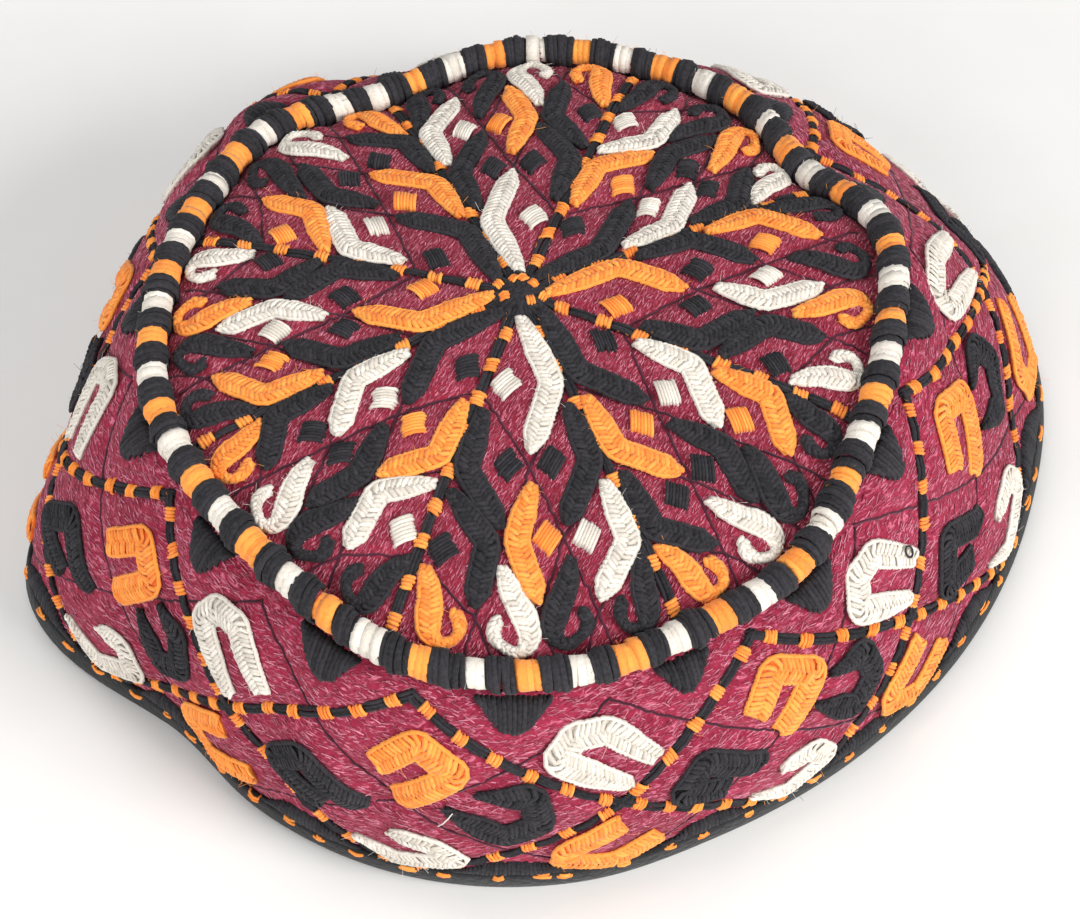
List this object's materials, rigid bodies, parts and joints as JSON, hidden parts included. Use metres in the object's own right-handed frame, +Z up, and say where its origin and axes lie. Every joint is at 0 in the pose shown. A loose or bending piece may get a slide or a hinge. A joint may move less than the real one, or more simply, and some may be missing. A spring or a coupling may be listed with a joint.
{
  "type": "tubeteika skullcap",
  "caption": "Low embroidered skullcap with a quilted round crown, a flared side band, a wound roll on the crown seam and a bound hem. Worn on the head.",
  "frame": {"origin": "middle of the footprint, on the plane that the hem rests on", "axes": "+X along the crease that the cap is folded flat on, +Z up through the crown"},
  "size_m": [0.1998, 0.1656, 0.0578],
  "materials": {
    "crown_cloth": "matte stitched cotton in burgundy with orange, white and black embroidery",
    "wound_yarn": "matte yarn wound in black, white and orange blocks",
    "band_cloth": "matte stitched cotton in burgundy with orange, white and black embroidery",
    "binding_cloth": "matte black woven binding"
  },
  "bodies": {
    "root": {"crown": "crown_cloth", "crown_roll": "wound_yarn", "side_band": "band_cloth", "hem_binding": "binding_cloth"}
  },
  "joints": []
}
